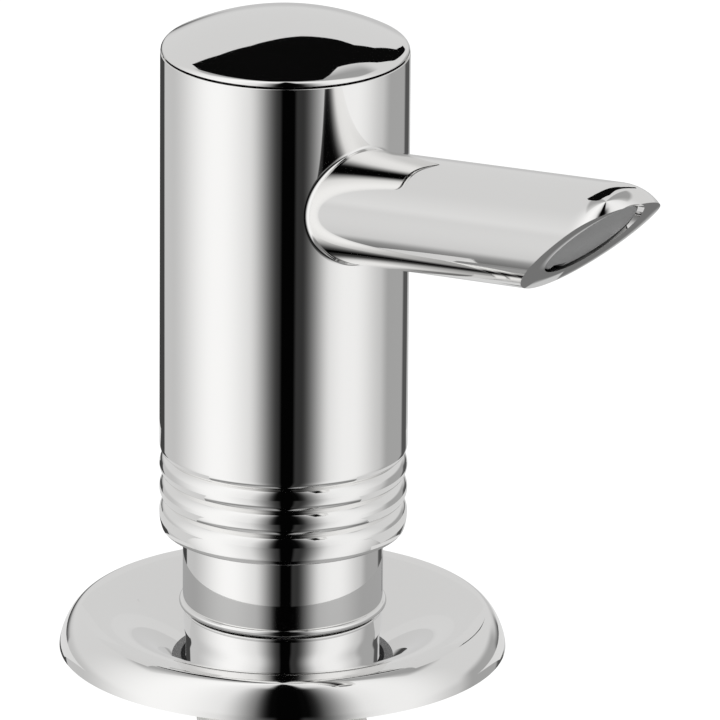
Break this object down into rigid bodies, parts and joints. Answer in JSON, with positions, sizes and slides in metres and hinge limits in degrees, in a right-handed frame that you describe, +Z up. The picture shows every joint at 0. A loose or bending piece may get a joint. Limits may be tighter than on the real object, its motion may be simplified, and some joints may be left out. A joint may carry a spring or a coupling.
{
  "type": "deck-mounted soap dispenser",
  "caption": "Deck-mounted liquid soap dispenser: press-down cylindrical head with a rising slant-cut spout on a round base plate, with threaded shank, clamp nut, pump and bottle.",
  "frame": {"origin": "centre of the base plate's underside, where it stands on the sink's deck", "axes": "+Z up along the pump's axis, +X the way the spout points"},
  "size_m": [0.0886, 0.056, 0.2377],
  "materials": {
    "chrome": "polished",
    "steel": "satin",
    "white_plastic": "moulded",
    "nut_plastic": "moulded",
    "bottle_plastic": "translucent",
    "tube_plastic": "translucent",
    "insert_plastic": "moulded",
    "rubber": "matt"
  },
  "bodies": {
    "base": {"base_plate": "chrome", "deck_gasket": "rubber", "shank_ring": "chrome", "shank": "white_plastic", "seat_gasket": "rubber", "bottle": "bottle_plastic", "bottle_seal": "rubber"},
    "clamp": {"rubber_washer": "rubber", "steel_washer": "steel"},
    "nut": {"fixing_nut": "nut_plastic"},
    "pump_unit": {"neck_sleeve": "chrome", "pump_collar": "white_plastic", "pump_cylinder": "white_plastic", "ball_cage": "white_plastic", "return_spring": "steel", "stem_wiper": "rubber", "dip_tube": "tube_plastic"},
    "ball": {"inlet_ball": "steel"},
    "plunger": {"plunger_stem": "white_plastic", "piston": "white_plastic", "piston_seal": "rubber"},
    "head": {"head_shell": "chrome", "head_cap": "chrome", "cap_ring": "rubber", "spout_tube": "chrome", "outlet_insert": "insert_plastic", "soap_hose": "tube_plastic", "head_core": "white_plastic", "outlet_valve": "rubber"}
  },
  "joints": [
    {"name": "pump_lift", "type": "slide", "parent": "base", "child": "pump_unit", "axis": [0, 0, 1], "range_m": [0, 0.17]},
    {"name": "pump_stroke", "type": "slide", "parent": "pump_unit", "child": "plunger", "axis": [0, 0, 1], "range_m": [-0.0075, 0], "stiffness_N_per_m": 600, "springref_m": 0.006, "deforming": ["return_spring"]},
    {"name": "head_swivel", "type": "hinge", "parent": "plunger", "child": "head", "pos_m": [0, 0, 0], "axis": [0, 0, 1], "continuous": true},
    {"name": "ball_float", "type": "slide", "parent": "pump_unit", "child": "ball", "axis": [0, 0, 1], "range_m": [0, 0.0012]},
    {"name": "clamp_slide", "type": "slide", "parent": "base", "child": "clamp", "axis": [0, 0, 1], "range_m": [0, 0.026]},
    {"name": "nut_turn", "type": "hinge", "parent": "clamp", "child": "nut", "pos_m": [0, 0, 0], "axis": [0, 0, 1], "range_deg": [0, 4680]}
  ],
  "couplings": [
    {"joint": "nut_turn", "follows": "clamp_slide", "rad_per_m": 3141.6}
  ]
}
